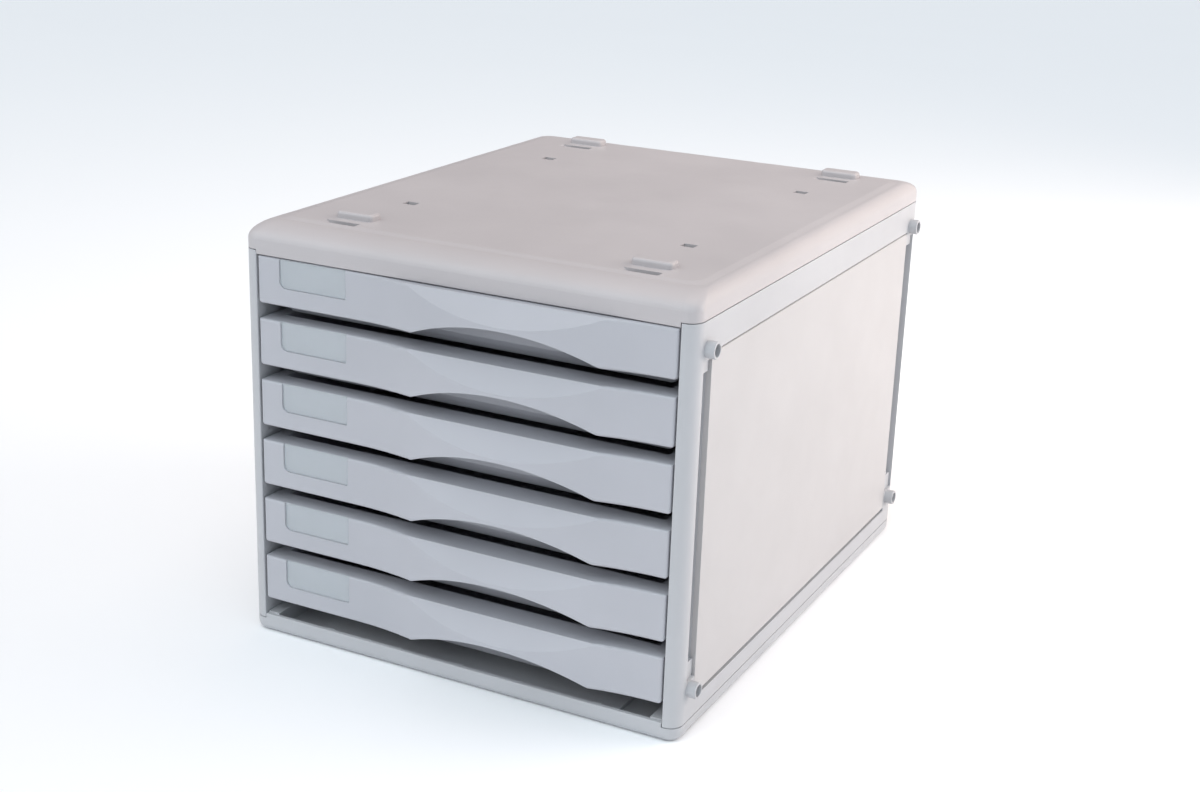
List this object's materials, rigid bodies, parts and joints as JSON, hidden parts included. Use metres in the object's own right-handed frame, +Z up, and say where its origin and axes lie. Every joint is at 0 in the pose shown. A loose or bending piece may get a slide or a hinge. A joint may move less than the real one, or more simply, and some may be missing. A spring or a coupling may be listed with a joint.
{
  "type": "desktop drawer cabinet",
  "caption": "Desktop drawer cabinet in light grey moulded plastic, with shallow pull-out trays for paper, curved finger pulls, label windows, stacking tabs and side coupling studs.",
  "frame": {"origin": "middle of the underside, on the surface that the cabinet stands on", "axes": "+X to the right as seen from the front, +Y to the rear (the drawers pull out towards -Y), +Z up"},
  "size_m": [0.2814, 0.3604, 0.2498],
  "materials": {
    "shell": "light grey, fine satin grain",
    "infill": "off-white, fine satin grain",
    "drawer": "light bluish grey, fine satin grain",
    "card": "smooth blank card",
    "window": "clear, slightly frosted"
  },
  "bodies": {
    "cabinet": {"lid": "shell", "base": "shell", "side_frame_left": "shell", "side_frame_right": "shell", "side_panel_left": "infill", "side_panel_right": "infill", "back_panel": "infill"},
    "drawer_1": {"drawer_1": "drawer", "label_card_1": "card", "label_window_1": "window"},
    "drawer_2": {"drawer_2": "drawer", "label_card_2": "card", "label_window_2": "window"},
    "drawer_3": {"drawer_3": "drawer", "label_card_3": "card", "label_window_3": "window"},
    "drawer_4": {"drawer_4": "drawer", "label_card_4": "card", "label_window_4": "window"},
    "drawer_5": {"drawer_5": "drawer", "label_card_5": "card", "label_window_5": "window"},
    "drawer_6": {"drawer_6": "drawer", "label_card_6": "card", "label_window_6": "window"}
  },
  "joints": [
    {"name": "drawer_1_slide", "type": "slide", "parent": "cabinet", "child": "drawer_1", "axis": [0, -1, 0], "range_m": [0, 0.25]},
    {"name": "drawer_2_slide", "type": "slide", "parent": "cabinet", "child": "drawer_2", "axis": [0, -1, 0], "range_m": [0, 0.25]},
    {"name": "drawer_3_slide", "type": "slide", "parent": "cabinet", "child": "drawer_3", "axis": [0, -1, 0], "range_m": [0, 0.25]},
    {"name": "drawer_4_slide", "type": "slide", "parent": "cabinet", "child": "drawer_4", "axis": [0, -1, 0], "range_m": [0, 0.25]},
    {"name": "drawer_5_slide", "type": "slide", "parent": "cabinet", "child": "drawer_5", "axis": [0, -1, 0], "range_m": [0, 0.25]},
    {"name": "drawer_6_slide", "type": "slide", "parent": "cabinet", "child": "drawer_6", "axis": [0, -1, 0], "range_m": [0, 0.25]}
  ]
}
